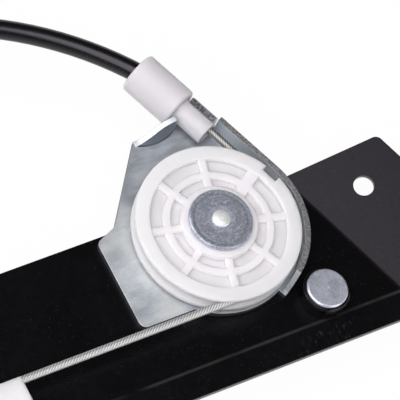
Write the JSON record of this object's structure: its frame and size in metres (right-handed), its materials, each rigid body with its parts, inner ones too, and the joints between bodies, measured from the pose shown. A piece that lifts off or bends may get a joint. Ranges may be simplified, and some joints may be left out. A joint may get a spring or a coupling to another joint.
{
  "type": "window regulator",
  "caption": "Cable window regulator: guide rail, end pulleys in pressed brackets, cable in conduits from a drum housing, and a sliding glass carrier.",
  "frame": {"origin": "drum's axis in the plane of the housing's mounting sleeves, which is the door panel's face", "axes": "+X up along the guide rail towards its bent end tab, +Y across the rail towards the conduits and drum housing, +Z out of the rail's outer face, along the pulley axes"},
  "size_m": [0.5569, 0.1864, 0.032],
  "materials": {
    "black_paint": "semi-gloss black electrocoat",
    "zinc_plate": "bright zinc plating",
    "zinc_dark": "grainy zinc plating",
    "zinc_turned": "turned, zinc plated",
    "white_nylon": "natural white nylon",
    "grey_nylon": "moulded grey acetal",
    "black_casing": "satin black extruded casing",
    "steel_rope": "galvanised stranded wire",
    "black_plastic": "glass-filled black nylon",
    "black_rubber": "moulded rubber"
  },
  "bodies": {
    "rail_frame": {"guide_rail": "black_paint", "stud_collars": "black_paint", "upper_pulley_bracket": "zinc_plate", "lower_pulley_bracket": "zinc_plate", "bracket_rivets": "zinc_plate", "upper_axle_rivet": "zinc_plate", "lower_axle_rivet": "zinc_plate", "upper_axle_washer": "zinc_dark", "lower_axle_washer": "zinc_dark", "fixing_studs": "zinc_turned", "upper_ferrule": "white_nylon", "lower_ferrule": "white_nylon", "upper_housing_ferrule": "white_nylon", "lower_housing_ferrule": "white_nylon", "upper_conduit": "black_casing", "lower_conduit": "black_casing", "lift_cable": "steel_rope", "drum_housing": "black_plastic", "drum_cover": "black_plastic", "cover_screws": "zinc_plate", "mounting_bushes": "black_rubber", "bush_sleeves": "zinc_plate"},
    "glass_carrier": {"slider_shoe": "white_nylon", "edge_guide": "white_nylon", "cable_nipple": "zinc_plate", "lift_plate": "zinc_plate", "carrier_rivets": "zinc_plate", "glass_bushes": "white_nylon", "glass_pads": "black_rubber"},
    "upper_wheel": {"upper_pulley": "white_nylon"},
    "lower_wheel": {"lower_pulley": "white_nylon"},
    "drum": {"cable_drum": "grey_nylon", "drum_cable_turns": "steel_rope"}
  },
  "joints": [
    {"name": "carrier_slide", "type": "slide", "parent": "rail_frame", "child": "glass_carrier", "axis": [1, 0, 0], "range_m": [-0.3, 0.045]},
    {"name": "upper_pulley_spin", "type": "hinge", "parent": "rail_frame", "child": "upper_wheel", "pos_m": [0.225, -0.05687, 0.0185], "axis": [0, 0, 1], "range_deg": [-949, 146]},
    {"name": "lower_pulley_spin", "type": "hinge", "parent": "rail_frame", "child": "lower_wheel", "pos_m": [-0.225, -0.05687, 0.0185], "axis": [0, 0, 1], "range_deg": [-949, 146]},
    {"name": "drum_spin", "type": "hinge", "parent": "rail_frame", "child": "drum", "pos_m": [0, 0, 0.0185], "axis": [0, 0, 1], "range_deg": [-959, 148]}
  ],
  "couplings": [
    {"joint": "upper_pulley_spin", "follows": "carrier_slide", "rad_per_m": 54.945},
    {"joint": "lower_pulley_spin", "follows": "carrier_slide", "rad_per_m": 54.945},
    {"joint": "drum_spin", "follows": "carrier_slide", "rad_per_m": 55.556}
  ]
}
